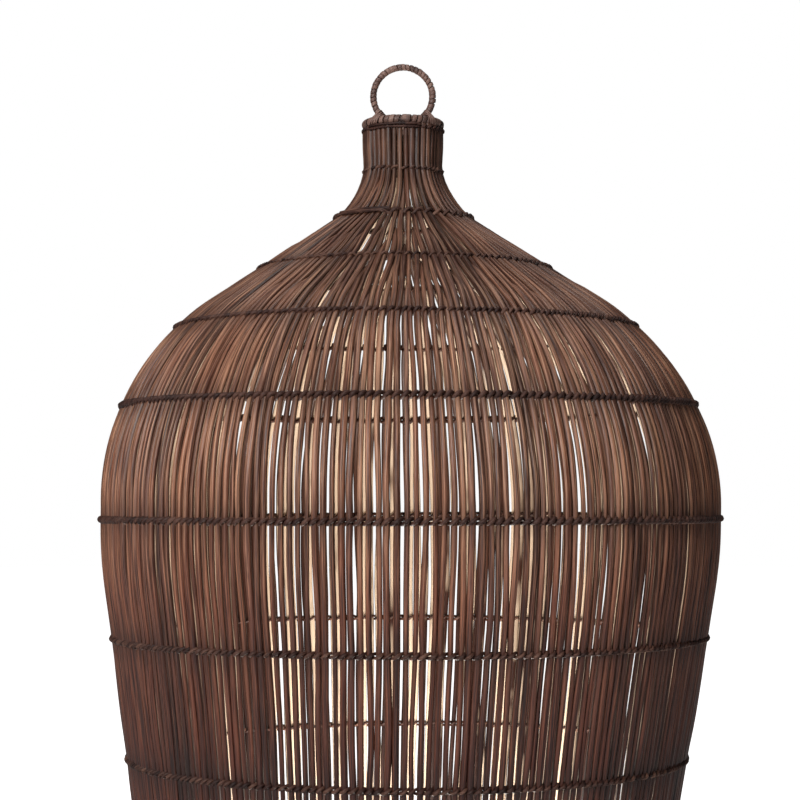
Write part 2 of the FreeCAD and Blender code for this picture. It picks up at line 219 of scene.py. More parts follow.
class Val:
    """A socket that can be used in ordinary arithmetic."""

    def __init__(self, tree, socket):
        self.tree, self.socket = tree, socket

    def _math(self, operation, a, b):
        node = self.tree.nodes.new("ShaderNodeMath")
        node.operation = operation
        for index, value in enumerate((a, b)):
            if isinstance(value, Val):
                self.tree.links.new(value.socket, node.inputs[index])
            else:
                node.inputs[index].default_value = value
        return Val(self.tree, node.outputs[0])

    def __neg__(self):
        return 0.0 - self

    def clamp(self):
        return self._math("MINIMUM", self._math("MAXIMUM", self, 0.0), 1.0)


# the operators and their reflected forms, so that 1 - mask works as well as mask - 1
for sign, operation in (("add", "ADD"), ("sub", "SUBTRACT"), ("mul", "MULTIPLY"), ("truediv", "DIVIDE")):
    setattr(Val, f"__{sign}__", lambda a, b, kind=operation: a._math(kind, a, b))
    setattr(Val, f"__r{sign}__", lambda a, b, kind=operation: a._math(kind, b, a))


class Nodes:
    """A node tree, and the one way in which nodes are added to it."""

    prefix = "ShaderNode"

    def node(self, kind, inputs=(), out=0, ramp=None, **options):
        node = self.tree.nodes.new(kind if kind.startswith(("FunctionNode", "ShaderNode")) else self.prefix + kind)
        for key, value in options.items():
            setattr(node, key, value)
        if ramp:
            points = node.color_ramp.elements
            while len(points) < len(ramp):
                points.new(0.5)
            for point, (position, value) in zip(points, ramp):
                point.position = position
                point.color = (*value, 1.0)
        for key, value in dict(inputs).items():
            self.feed(node.inputs[key], value)
        return Val(self.tree, node.outputs[out])

    def feed(self, socket, value):
        if isinstance(value, Val):
            self.tree.links.new(value.socket, socket)
        elif socket.type == "RGBA":
            socket.default_value = (*value[:3], 1.0)
        else:
            socket.default_value = value


class Finish(Nodes):
    """A material with its Principled shader."""

    def __init__(self, name):
        self.material = bpy.data.materials.new(name)
        self.material.use_nodes = True
        self.tree = self.material.node_tree
        self.shader = self.tree.nodes["Principled BSDF"]

    def set(self, **inputs):
        for key, value in inputs.items():
            self.feed(self.shader.inputs[key.replace("_", " ")], value)

    def attribute(self, name):
        return self.node("Attribute", out=2, attribute_name=name)

    def round_section(self, cells, along):
        """A place for noise that runs round a rod without a seam, and on along it."""
        section = self.node("Attribute", out=1, attribute_name="section")
        wide = self.node("VectorMath", {0: section, 3: cells}, operation="SCALE")
        return self.node("VectorMath", {0: wide, 1: self.vector(0.0, 0.0, along)}, operation="ADD")

    def height_tint(self, stain, stops):
        """The stain darkened towards the foot and the neck. Stops are heights in metres and tints."""
        height = self.node("SeparateXYZ", {"Vector": self.place()}, out=2)
        tint = self.node("ValToRGB", {"Fac": height}, ramp=stops)
        return self.node("Mix", {0: 1.0, 6: stain, 7: tint}, out=2, data_type="RGBA", blend_type="MULTIPLY")

    def place(self):
        return self.node("TexCoord", out=3)

    def outward(self):
        """1 on faces that look away from the shade's axis, -1 on faces that look towards it."""
        level = self.node("VectorMath", {0: self.place(), 1: (1.0, 1.0, 0.0)}, operation="MULTIPLY")
        radial = self.node("VectorMath", {0: level}, operation="NORMALIZE")
        normal = self.node("TexCoord", out=1)
        return self.node("VectorMath", {0: normal, 1: radial}, out=1, operation="DOT_PRODUCT")

    def noise(self, vector, scale, detail, roughness=0.55):
        return self.node("TexNoise", {"Vector": vector, "Scale": scale, "Detail": detail, "Roughness": roughness})

    def vector(self, x, y, z):
        return self.node("CombineXYZ", {"X": x, "Y": y, "Z": z})

    def mix(self, factor, a, b):
        return self.node("Mix", {0: factor, 6: a, 7: b}, out=2, data_type="RGBA")

    def bump(self, height, distance):
        return self.node("Bump", {"Height": height, "Distance": distance, "Strength": 1.0})


def finish(name):
    """Turns a function that paints a Finish into one that makes its material once and then finds it."""

    def shared(paint):
        def material():
            if name not in bpy.data.materials:
                paint(Finish(name))
            return bpy.data.materials[name]

        return material

    return shared


def ramp(value, low, high):
    """0 below low, 1 above high."""
    return ((value - low) / (high - low)).clamp()


# what the stain is multiplied by at heights above the foot: darker and redder towards the foot, and darker towards the
# neck
COLOUR_BY_HEIGHT = (
    (0.0, (0.2, 0.1, 0.09)),
    (0.16, (0.31, 0.17, 0.15)),
    (0.27, (0.6, 0.43, 0.39)),
    (0.36, (1.0, 0.92, 0.88)),
    (0.44, (1.0, 0.96, 0.94)),
    (0.51, (0.78, 0.73, 0.71)),
    (0.62, (0.58, 0.53, 0.52)),
)


@finish("stained_willow")
def rod_finish(f):
    """Stained willow: each rod its own stain, streaked along its length, with dirt and painted shade where a row holds
    it, painted shade on its flanks and painted light on its inner faces.
    """
    s = settings("rods")
    tone, tint, along, held = (f.attribute(name) for name in ("tone", "tint", "along", "held"))
    streak = f.noise(f.round_section(1.7, along * 9.0), 1.0, 4.0, 0.6)
    fine = f.noise(f.round_section(4.5, along * 26.0), 1.0, 3.0, 0.6)
    patch = f.noise(f.vector(tint * 80.0, along * 16.0, tone * 30.0), 1.0, 2.0)
    fleck = f.noise(f.round_section(3.0, along * 90.0), 1.0, 3.0, 0.7)
    shade = tone + (patch - 0.5) * 0.9
    outward = f.outward()
    stain = f.mix(ramp(shade, 0.08, 0.68), s.dark, s.usual)
    for amount, colour_over in (
        (ramp(shade, 0.62, 1.25), s.light),
        (ramp(tint + (patch - 0.5) * 0.5, 0.62, 1.0) * 0.6, s.red),
        (ramp(1.0 - tint + (patch - 0.5) * 0.4, 0.62, 1.0) * 0.6, s.grey),
        (ramp(streak, 0.53, 0.66) * 0.6, s.light),
        (ramp(1.0 - streak, 0.52, 0.64) * 0.9, s.dark),
        (ramp(fine, 0.52, 0.62) * 0.45, s.light),
        (ramp(1.0 - fine, 0.5, 0.62) * 0.75, s.dark),
        (ramp(fleck, 0.6, 0.78) * 0.45, s.dark),
        # dirt and painted shade on the rod where a row holds it
        (held * 0.5, s.dark),
        # painted shade: rod faces that turn sideways or into the shade, between the rods, are darkened
        (ramp(0.5 - outward, 0.0, 0.4) * 0.8, s.dark),
    ):
        stain = f.mix(amount, stain, colour_over)
    stain = f.height_tint(stain, COLOUR_BY_HEIGHT)
    # painted light: on about half the rods, faces that look into the shade get a pale colour that stands in for light
    # seen through the gaps
    painted_light_mask = ramp(tint * 0.5 + patch * 0.5, 0.5, 0.62)
    stain = f.mix(ramp(-outward, 0.1, 0.5) * painted_light_mask * 0.8, stain, s.inside)
    height = streak * 0.5 + fine * 0.35 + fleck * 0.15
    f.set(Base_Color=stain, Roughness=0.44 + (fine - 0.5) * 0.5, Normal=f.bump(height, 0.5 * MM))
    f.set(Specular_IOR_Level=0.35)


@finish("dark_twine")
def twine_finish(f):
    """Dark cane strand with fine lengthwise fibres, lighter in patches that are partly wear and partly a painted
    highlight.
    """
    s = settings("twine")
    along, tone, worn_and_highlit = f.attribute("along"), f.attribute("tone"), f.attribute("worn_and_highlit")
    fibre = f.noise(f.round_section(2.2, along * 50.0), 1.0, 4.0, 0.7)
    patch = f.noise(f.vector(along * 40.0, tone * 40.0, 0.0), 1.0, 3.0)
    stain = f.mix(ramp(patch, 0.3, 0.6), s.dark, s.usual)
    # lighter patches, partly wear and partly a painted highlight on the strands
    light_patches = ramp(patch * 0.5 + fibre * 0.5, 0.48, 0.66)
    stain = f.mix(light_patches * worn_and_highlit, stain, s.light)
    f.set(Base_Color=stain, Roughness=0.56 + (fibre - 0.5) * 0.4, Normal=f.bump(fibre, 0.3 * MM))
    f.set(Specular_IOR_Level=0.25)


@finish("stained_strip")
def strip_finish(f):
    """Flat stained strip, scuffed paler on its crown and dark at its edges."""
    s = settings("strip")
    along, across, tone = f.attribute("along"), f.attribute("across"), f.attribute("tone")
    fibre = f.noise(f.vector(across * 5.0, along * 60.0, tone * 20.0), 2.0, 4.0, 0.65)
    patch = f.noise(f.vector(along * 30.0, tone * 50.0, 0.0), 1.0, 2.0)
    stain = f.mix(ramp(patch, 0.28, 0.55), s.dark, s.usual)
    stain = f.mix(ramp(patch * 0.6 + fibre * 0.4, 0.5, 0.72), stain, s.light)
    # darker towards both edges of the strip, where turns meet
    stain = f.mix(ramp(across, 0.7, 1.0) * 0.75, stain, s.dark)
    f.set(Base_Color=stain, Roughness=0.48 + (fibre - 0.5) * 0.4, Normal=f.bump(fibre, 0.2 * MM))


@finish("split_cane")
def hoop_finish(f):
    """Split cane hoop: long grain round the hoop."""
    s, rods = settings("foot"), settings("rods")
    along, across, tone = f.attribute("along"), f.attribute("across"), f.attribute("tone")
    grain = f.noise(f.vector(across * 26.0, along * 7.0, tone * 9.0), 1.6, 5.0, 0.68)
    patch = f.noise(f.vector(along * 9.0, tone * 9.0, across), 1.0, 2.0)
    stain = f.mix(ramp(patch, 0.3, 0.7), s.wood, rods.usual)
    stain = f.mix(ramp(grain, 0.45, 0.7) * 0.7, stain, rods.dark)
    stain = f.mix(ramp(1.0 - grain, 0.6, 0.8) * 0.5, stain, rods.light)
    f.set(Base_Color=stain, Roughness=0.5 + (grain - 0.5) * 0.4, Normal=f.bump(grain, 0.3 * MM))


@finish("dull_steel")
def steel_finish(f):
    s = settings("foot")
    blotch = f.noise(f.place(), 900.0, 4.0, 0.6)
    rust = f.mix(ramp(blotch, 0.55, 0.75), s.steel, (0.12, 0.055, 0.03))
    f.set(Base_Color=rust, Roughness=0.4 + blotch * 0.35, Metallic=1.0 - ramp(blotch, 0.5, 0.75) * 0.7)


@finish("pale_floor")
def floor_finish(f):
    cloud = f.noise(f.place(), 1.5, 2.0)
    f.set(Base_Color=f.mix(cloud, (0.93, 0.93, 0.93), (0.96, 0.96, 0.96)), Roughness=0.8)
    seen = f.node("LightPath")
    f.set(Emission_Color=f.mix(seen, (0.0, 0.0, 0.0), (1.0, 1.0, 1.0)), Emission_Strength=1.0)


# ---- the outline ---------------------------------------------------------------------------------------


class Outline:
    """The rods' middle line as radius and height at each distance below the rod tops."""

    def __init__(self):
        s = settings("outline")
        rod = settings("rods").radius
        neck = half_width("rim_hoop") - thickness("rim_hoop") / 2
        belly = half_width("rods_from_rim") - rod
        shoulder_corner = middle("rim_hoop").z - s.neck_length
        dome_corner = shoulder_corner - (belly - neck) * math.tan(s.shoulder_slope)
        dome_end = dome_corner - s.dome_radius * math.tan(math.pi / 4 - s.shoulder_slope / 2)
        belly_corner = dome_end - s.belly_straight - s.belly_curve * math.tan(s.skirt_slope / 2)
        foot = belly - (belly_corner - s.foot_bend_height) * math.tan(s.skirt_slope)
        top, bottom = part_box("rods_from_rim")[1].z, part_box("rods_from_rim")[0].z
        corners = [
            (neck, top, 0.0),
            (neck, shoulder_corner, s.flare_radius),
            (belly, dome_corner, s.dome_radius),
            (belly, belly_corner, s.belly_curve),
            (foot, s.foot_bend_height, s.foot_bend),
            (foot, bottom, 0.0),
        ]
        points = self.rounded(corners)
        run = np.hypot(*np.diff(points, axis=0).T)
        self.distance = np.concatenate([[0.0], np.cumsum(run)])
        self.points = points
        self.total = self.distance[-1]
        self.bulge = s.bulge

    @staticmethod
    def rounded(corners, steps=48):
        points = [np.array(corners[0][:2])]
        for before, corner, after in zip(corners, corners[1:], corners[2:]):
            a, b, c = (np.array(p[:2]) for p in (before, corner, after))
            towards, away = (a - b) / np.linalg.norm(a - b), (c - b) / np.linalg.norm(c - b)
            turn = math.pi - math.acos(float(np.clip(towards @ away, -1, 1)))
            bisector = (towards + away) / np.linalg.norm(towards + away)
            centre = b + bisector * corner[2] / math.cos(turn / 2)
            side = np.array([-bisector[1], bisector[0]])
            side *= math.copysign(1.0, float(side @ towards))
            for step in range(steps + 1):
                swing = turn * (0.5 - step / steps)
                points.append(centre + corner[2] * (-bisector * math.cos(swing) + side * math.sin(swing)))
        points.append(np.array(corners[-1][:2]))
        return np.array(points)

    def at(self, distance):
        """Radius, height, and the outward normal's radius and height parts."""

        def line(where):
            return np.array([np.interp(where, self.distance, self.points[:, part]) for part in (0, 1)])

        nudge = 1.5 * MM
        radius, height = line(distance)
        across, down = line(distance + nudge) - line(distance - nudge)
        size = np.maximum(np.hypot(across, down), 1e-9)
        return radius, height, -down / size, across / size

    def place(self, distance, azimuth, outward=0.0, downward=0.0):
        """Points in space, moved off the line along its outward normal and its downward tangent."""
        radius, height, normal_r, normal_z = self.at(distance)
        height = height - np.minimum(distance, 0.0)
        r = radius + normal_r * outward + normal_z * downward
        z = height + normal_z * outward - normal_r * downward
        aside = self.bulge * self.lean(z)
        return np.stack([r * np.sin(azimuth) + aside, -r * np.cos(azimuth), z], axis=-1)

    def lean(self, z):
        """0 at the neck and the foot, 1 where the belly sits furthest aside."""
        knots = np.array([0.0, 0.12, 0.24, 0.34, 0.44, 0.56, 0.62])
        amounts = np.array([0.0, 0.42, 0.85, 1.0, 0.7, 0.1, 0.0])
        return np.interp(z, knots, amounts)

    def distance_at(self, z):
        return float(np.interp(-z, -self.points[:, 1], self.distance))


ROW_LETTERS = "abcdefghij"


def row_distance(outline, letter):
    outer, inner = middle(f"row_{letter}_outer_strand").z, middle(f"row_{letter}_inner_strand").z
    return outline.distance_at((outer + inner) / 2)


def smooth_noise(random, knots, positions, spacing):
    """A smooth random curve for each row of the result, with a new value every spacing."""
    values = random.standard_normal((knots, int(np.max(positions) / spacing) + 3))
    cell = positions / spacing
    index = np.floor(cell).astype(int)
    part = cell - index
    part = part * part * (3 - 2 * part)
    return values[:, index] * (1 - part) + values[:, index + 1] * part


# ---- meshes --------------------------------------------------------------------------------------------


def add_object(name, mesh):
    made = bpy.data.objects.new(name, mesh)
    bpy.context.scene.collection.objects.link(made)
    return made


def add_values(mesh, values):
    for name, numbers in values.items():
        layer = mesh.attributes.new(name, "FLOAT", "POINT")
        layer.data.foreach_set("value", np.asarray(numbers, dtype=np.float32).ravel())


def lines_mesh(name, lines, closed, values):
    """A mesh of edges only, one run of edges for each line."""
    points = np.concatenate(lines)
    edges, start = [], 0
    for line in lines:
        count = len(line)
        ends = np.arange(start, start + count)
        pairs = np.stack([ends, np.roll(ends, -1)], axis=1)
        edges.append(pairs if closed else pairs[:-1])
        start += count
    mesh = bpy.data.meshes.new(name)
    mesh.from_pydata(points.tolist(), np.concatenate(edges).tolist(), [])
    add_values(mesh, values)
    return mesh


class PieceTree(Nodes):
    """A Geometry Nodes tree with named inputs. Its last nodes realize instances and set the material."""

    prefix = "GeometryNode"

    def __init__(self, name, **inputs):
        self.tree = bpy.data.node_groups.new(name, "GeometryNodeTree")
        face = self.tree.interface
        face.new_socket("Geometry", in_out="OUTPUT", socket_type="NodeSocketGeometry")
        for title, kind in {"Geometry": "Geometry", **inputs, "Material": "Material"}.items():
            face.new_socket(title, in_out="INPUT", socket_type="NodeSocket" + kind)
        self.source = self.tree.nodes.new("NodeGroupInput")

    def given(self, name):
        return Val(self.tree, self.source.outputs[name])

    def named(self, name, kind):
        return self.node("InputNamedAttribute", {"Name": name}, data_type=kind)

    def finished(self, geometry):
        """Closes the tree after geometry, whose instances are real from here on."""
        painted = self.node("SetMaterial", {"Geometry": geometry, "Material": self.given("Material")})
        result = self.tree.nodes.new("NodeGroupOutput")
        self.tree.links.new(painted.socket, result.inputs["Geometry"])
        return self.tree


def round_stock_tree():
    """Gives every line of edges a round section of its own thickness."""
    name = "Round stock along lines"
    if name in bpy.data.node_groups:
        return bpy.data.node_groups[name]
    t = PieceTree(name, Sides="Int")
    circle = t.node("CurvePrimitiveCircle", {"Resolution": t.given("Sides"), "Radius": 1.0})
    kept = {"Geometry": circle, "Name": "section", "Value": t.node("InputPosition")}
    section = t.node("StoreNamedAttribute", kept, data_type="FLOAT_VECTOR", domain="POINT")
    curve = t.node("MeshToCurve", {"Mesh": t.given("Geometry")})
    stock = t.named("stock", "FLOAT")
    swept = t.node("CurveToMesh", {"Curve": curve, "Profile Curve": section, "Scale": stock, "Fill Caps": True})
    return t.finished(t.node("RealizeInstances", {"Geometry": t.node("SetShadeSmooth", {"Geometry": swept})}))


def socket_id(tree, name):
    return next(i.identifier for i in tree.interface.items_tree if i.name == name and i.in_out == "INPUT")


def made_by_tree(name, mesh, tree, **inputs):
    """The plain mesh object that a Geometry Nodes tree makes out of a mesh."""
    source = add_object(name + "_source", mesh)
    modifier = source.modifiers.new("nodes", "NODES")
    modifier.node_group = tree
    for key, value in inputs.items():
        modifier[socket_id(tree, key.replace("_", " "))] = value
    bpy.context.view_layer.update()
    graph = bpy.context.evaluated_depsgraph_get()
    result = bpy.data.meshes.new_from_object(source.evaluated_get(graph))
    result.name = name
    bpy.data.objects.remove(source)
    return add_object(name, result)


def stand_for(piece, body, slot, *nodes):
    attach(piece, body)
    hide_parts(*nodes)
    return piece


def swept_mesh(name, points, along, across, tone, closed, material):
    """Faces over rings of points, with caps at the ends unless the sweep is closed."""
    rings, sides = points.shape[:2]
    faces = []
    for ring in range(rings if closed else rings - 1):
        here, after = ring * sides, (ring + 1) % rings * sides
        for side in range(sides):
            beside = (side + 1) % sides
            faces.append((here + side, here + beside, after + beside, after + side))
    if not closed:
        faces.append(tuple(range(sides)))
        faces.append(tuple((rings - 1) * sides + side for side in reversed(range(sides))))
    mesh = bpy.data.meshes.new(name)
    mesh.from_pydata(points.reshape(-1, 3).tolist(), [], faces)
    add_values(mesh, {"along": np.repeat(along, sides), "across": across, "tone": np.full(rings * sides, tone)})
    mesh.materials.append(material)
    return mesh


# a strip's crowned section, as shares of its half width and half thickness
CROWNED = ((-1, 0.15), (-0.72, 0.78), (0, 1), (0.72, 0.78), (1, 0.15), (0.72, -0.6), (0, -0.7), (-0.72, -0.6))


def strip_mesh(name, centres, outward, sideways, half_widths, wall, closed, tone, material):
    """A flat strip with a crowned face and rounded edges, swept through the centres."""
    points = [
        centres + sideways * (u * half_widths)[:, None] + outward * (v * wall / 2) for u, v in CROWNED
    ]
    run = np.concatenate([[0.0], np.cumsum(np.linalg.norm(np.diff(centres, axis=0), axis=1))])
    across = np.tile([abs(u) for u, v in CROWNED], len(centres))
    return swept_mesh(name, np.stack(points, axis=1), run, across, tone, closed, material)


def joined(name, meshes):
    """One object out of several meshes, with its faces turned outwards."""
    work = bmesh.new()
    for mesh in meshes:
        work.from_mesh(mesh)
    bmesh.ops.recalc_face_normals(work, faces=work.faces)
    for face in work.faces:
        face.smooth = True
    whole = bpy.data.meshes.new(name)
    work.to_mesh(whole)
    work.free()
    for material in meshes[0].materials:
        whole.materials.append(material)
    return add_object(name, whole)


# ---- rods ----------------------------------------------------------------------------------------------


class Weave:
    """Where every rod lies: the same answer for the rods and for the rows that hold them."""

    ORDER = (0, 3, 1, 4, 2, 5)  # the order in which the rods of a cell are let in
    CROWDED = 1.035  # spacing of rods against their thickness where a new one is let in
    SCATTER = 5.0 * MM  # how irregular the starts of new rods are
    LEAD = 10.0 * MM  # how soon before its start a new rod begins to make its room
    HOLD = 14.0 * MM  # how far a row's hold reaches along the rods
    BEHIND = 3.2 * MM  # how far behind its neighbours the tip of a new rod lies

    def __init__(self):
        s = settings("rods")
        random = np.random.default_rng(s.seed)
        self.outline = Outline()
        self.rows = {letter: row_distance(self.outline, letter) for letter in ROW_LETTERS}
        self.count = s.count
        self.grid = np.arange(0.0, self.outline.total + s.step, s.step)
        self.grid[-1] = self.outline.total
        self.start = self.starts(random, s)
        self.azimuth = self.azimuths(random, s)
        self.outward = self.offsets(random, s)
        self.stock = self.stocks(random, s)
        self.tone = np.clip(random.normal(0.5, 0.26, self.count), 0.02, 0.98)
        self.tint = random.random(self.count)

    def starts(self, random, s):
        """How far below the rod tops each rod begins: every cell keeps one rod that reaches the rim."""
        slots = s.count // s.at_rim
        order = np.array(self.ORDER[:slots])
        self.rank = np.tile(np.argsort(order), s.at_rim)
        begun = np.zeros((s.at_rim, slots))
        pitch = 2 * s.radius * self.CROWDED
        for rank, slot in enumerate(order):
            share = random.permutation(s.at_rim) / s.at_rim
            needed = (s.at_rim * (rank + share)) * pitch / TAU
            wide = np.maximum.accumulate(self.outline.points[:, 0])
            begun[:, slot] = np.interp(needed, wide, self.outline.distance) if rank else 0.0
        begun[:, 1:] += random.normal(0.0, self.SCATTER, (s.at_rim, slots - 1))
        return begun.ravel()

    def azimuths(self, random, s):
        """Rods share the way round evenly, and a new rod makes its room over a short stretch."""
        reach = (self.grid[None, :] - self.start[:, None] + self.LEAD) / s.opening
        weight = np.clip(reach, 0.0, 1.0)
        weight = weight * weight * (3 - 2 * weight)
        weight[self.start == 0.0] = 1.0
        weight *= 1 + 0.08 * np.clip(random.standard_normal((self.count, 1)), -2, 2)
        self.weight = weight
        turn = self.shared_out(weight, 1) * (1 - s.keeping) + self.shared_out(weight, s.at_rim) * s.keeping
        sideways = smooth_noise(random, self.count, self.grid, 80 * MM)
        radius = self.outline.at(self.grid)[0]
        near = self.held(self.grid)
        room = np.clip((radius - 40 * MM) / (120 * MM), 0.25, 1.0)
        stray = sideways * (s.wander * (1 - near) + s.wander_at_row * near) * room
        return turn + stray / radius

    @staticmethod
    def shared_out(weight, cells):
        """Angles of rods that share equal cells of the way round by their weights."""
        rods, places = weight.shape
        within = weight.reshape(cells, rods // cells, places)
        middles = np.cumsum(within, axis=1) - within / 2
        share = middles / within.sum(axis=1, keepdims=True)
        return TAU * (share + np.arange(cells)[:, None, None]).reshape(rods, places) / cells

    def held(self, distance):
        """1 where a row holds the rods, fading to 0 away from it."""
        gaps = np.abs(distance[:, None] - np.array(list(self.rows.values()))[None, :]).min(axis=1)
        return np.exp(-((gaps / self.HOLD) ** 2))

    def offsets(self, random, s):
        """How far each rod stands off the line; a new rod comes out from behind its neighbours."""
        stray = smooth_noise(random, self.count, self.grid, 70 * MM) * 0.45 * MM
        tucked = np.clip(1 - (self.grid[None, :] - self.start[:, None] + 8 * MM) / (26 * MM), 0.0, 1.0)
        tucked[self.start == 0.0] = 0.0
        waist = s.waist * np.exp(-(((self.grid - self.rows["b"]) / (17 * MM)) ** 2))
        return stray * (1 - 0.7 * self.held(self.grid)) - tucked * self.BEHIND - waist

    def stocks(self, random, s):
        usual = s.radius * (1 + s.spread * np.clip(random.standard_normal((self.count, 1)), -1.8, 1.8))
        slow = 1 + 0.05 * smooth_noise(random, self.count, self.grid, 90 * MM)
        tip = 0.45 + 0.55 * np.clip((self.grid[None, :] - self.start[:, None] + 12 * MM) / (30 * MM), 0.0, 1.0)
        tip[self.start == 0.0] = 1.0
        close = 1 + 0.09 * np.clip((50 * MM - self.outline.at(self.grid)[0]) / (18 * MM), 0.0, 1.0)
        return usual * slow * tip * close

    def rod_points(self, rod):
        """Indexes of the grid that a rod covers."""
        first = int(np.searchsorted(self.grid, max(self.start[rod] - 12 * MM, 0.0)))
        return np.arange(first, len(self.grid))


# each set of rods, and the order in which its rods are let in on the way down
RODS = (
    ("rods_from_rim", (0,)),
    ("rods_added_below_neck", (1,)),
    ("rods_added_on_shoulder", (2,)),
    ("first_rods_added_on_dome", (3, 4)),
    ("second_rods_added_on_dome", (5,)),
)


class WICKER_OT_rods(bpy.types.Operator):
    """Make the willow rods, one piece for each set"""

    bl_idname = "wicker.rods"
    bl_label = "Rods"

    def execute(self, context):
        s = settings("rods")
        weave, material, tree = Weave(), rod_finish(), round_stock_tree()
        random = np.random.default_rng(s.seed + 1)
        for node, ranks in RODS:
            lines, values = [], {"stock": [], "along": [], "held": [], "tone": [], "tint": []}
            for rod in range(weave.count):
                began = weave.start[rod]
                if weave.rank[rod] not in ranks:
                    continue
                index = weave.rod_points(rod)
                distance = weave.grid[index].copy()
                distance[-1] -= random.uniform(0, 2.5 * MM)
                if began == 0.0:
                    distance[0] -= random.uniform(2.6 * MM, 3.4 * MM)
                lines.append(weave.outline.place(distance, weave.azimuth[rod, index], weave.outward[rod, index]))
                values["stock"].append(weave.stock[rod, index])
                values["along"].append(distance + rod * 1.7)
                # held carries the dirt and painted shade near each row
                values["held"].append(weave.held(distance))
                values["tone"].append(np.full(len(index), weave.tone[rod]))
                values["tint"].append(np.full(len(index), weave.tint[rod]))
            mesh = lines_mesh(node, lines, False, {key: np.concatenate(parts) for key, parts in values.items()})
            piece = made_by_tree(node + "_willow", mesh, tree, Sides=s.sides, Material=material)
            stand_for(piece, SHADE, "rod", node)
        return {"FINISHED"}


# ---- twined rows ---------------------------------------------------------------------------------------

# each row's strand thickness against the usual one
ROW_STOCK = {"a": 0.92, "b": 0.9, "c": 1.25, "d": 0.88, "e": 1.1, "f": 1.32, "g": 1.32, "h": 1.1, "i": 1.1, "j": 1.1}
# how much each row's strands are lightened: partly wear, partly a painted highlight
ROW_WORN_AND_HIGHLIT = {"a": 0.1, "b": 0.8, "c": 0.75, "d": 0.5, "e": 0.35, "f": 0.2, "g": 0.25, "h": 0.5, "i": 0.5, "j": 0.3}
ROW_RAISED = {"a": 1.5 * MM}
ROW_SWAY = {"a": 0.15}
USUAL_SWAY = 0.6

# the stretch of a row where its strands lie side by side in front of the rods and don't cross, in degrees
# to the right of the front
ROW_LOOSE = {"a": (-64.0, 30.0), "c": (-75.0, -8.0)}


def loose_share(azimuth, first, last):
    """1 well inside the stretch from first to last, 0 outside it."""
    degrees = (np.degrees(azimuth) + 180) % 360 - 180
    middle_of, half = (first + last) / 2, (last - first) / 2
    share = np.clip((half - np.abs(degrees - middle_of)) / 10.0, 0.0, 1.0)
    return share * share * (3 - 2 * share)


class WICKER_OT_rows(bpy.types.Operator):
    """Make the twined rows, two strands each that cross between every pair of rods"""

    bl_idname = "wicker.rows"
    bl_label = "Twined rows"

    def execute(self, context):
        s = settings("twine")
        weave, material, tree = Weave(), twine_finish(), round_stock_tree()
        random = np.random.default_rng(11)
        for letter in ROW_LETTERS:
            stock = s.radius * ROW_STOCK[letter]
            at = weave.rows[letter]
            column = int(np.argmin(np.abs(weave.grid - at)))
            present = np.flatnonzero(weave.weight[:, column] > 0.5)
            turns = np.sort(weave.azimuth[present, column])
            if len(turns) % 2:
                turns = turns[:-1]
            points = len(turns) * s.turns_per_rod
            count = np.arange(points) / s.turns_per_rod
            azimuth = np.interp(count, np.arange(len(turns) + 1), np.append(turns, turns[0] + TAU))
            waves = [random.uniform(0.3, 1.0) * np.sin(azimuth * k + random.uniform(0, TAU)) / k for k in (1, 2, 3, 5)]
            sway = sum(waves)
            swell = 1 + 0.1 * smooth_noise(random, 1, count, 2.3)[0]
            loose = loose_share(azimuth, *ROW_LOOSE.get(letter, (0.0, 0.0)))
            off = settings("rods").radius + stock * 0.8
            inward = settings("rods").waist if letter == "b" else 0.0
            for name, phase in (("outer", 0.0), ("inner", math.pi)):
                swing = math.pi * count + phase
                out = np.cos(swing) * (1 - loose) + loose
                down = -1.1 * (np.sin(swing) * (1 - loose) + math.cos(phase) * loose)
                below = at - ROW_RAISED.get(letter, 0.0) + s.sway * sway * ROW_SWAY.get(letter, USUAL_SWAY)
                path = weave.outline.place(below, azimuth, off * out - inward, stock * down)
                values = {
                    "stock": stock * swell,
                    "along": count * 6.0 * MM,
                    "tone": np.full(points, random.random()),
                    "worn_and_highlit": np.full(points, ROW_WORN_AND_HIGHLIT[letter]),
                }
                mesh = lines_mesh("row", [path], True, values)
                piece = made_by_tree(f"row_{letter}_{name}_twine", mesh, tree, Sides=s.sides, Material=material)
                stand_for(piece, SHADE, "twine", f"row_{letter}_{name}_strand")
        return {"FINISHED"}


# ---- rim, ring and lashings ------------------------------------------------------------------------------


def hoop_way(around, axis):
    """Outward directions at angles round a hoop, and the way out of its plane. axis is the hoop's, z or y."""
    if axis == "z":
        return np.stack([np.sin(around), -np.cos(around), 0 * around], axis=1), (0.0, 0.0, 1.0)
    return np.stack([np.sin(around), 0 * around, np.cos(around)], axis=1), (0.0, -1.0, 0.0)


def wound_strip(name, centre, ring_radius, core, turns, wall, axis, gap, seed):
    """Strip wound in a spiral over a round hoop."""
    random = np.random.default_rng(seed)
    per_turn = 18
    count = np.arange(turns * per_turn) / per_turn
    wobble = smooth_noise(random, 3, count, 1.0)
    swing = TAU * count
    out, up = hoop_way(TAU * (count + 0.08 * wobble[0]) / turns, axis)
    outward = out * np.cos(swing)[:, None] + np.array(up) * np.sin(swing)[:, None]
    depth = core + wall / 2 + 0.12 * wall * wobble[1]
    centres = np.array(centre) + out * ring_radius + outward * depth[:, None]
    halves = TAU * ring_radius / turns / 2 * (1 - gap + 0.06 * wobble[2])
    tangent = np.roll(centres, -1, axis=0) - np.roll(centres, 1, axis=0)
    tangent /= np.linalg.norm(tangent, axis=1)[:, None]
    sideways = np.cross(outward, tangent)
    sideways /= np.linalg.norm(sideways, axis=1)[:, None]
    strip = strip_mesh(name, centres, outward, sideways, halves, wall, True, random.random(), strip_finish())
    return joined(name, [strip])


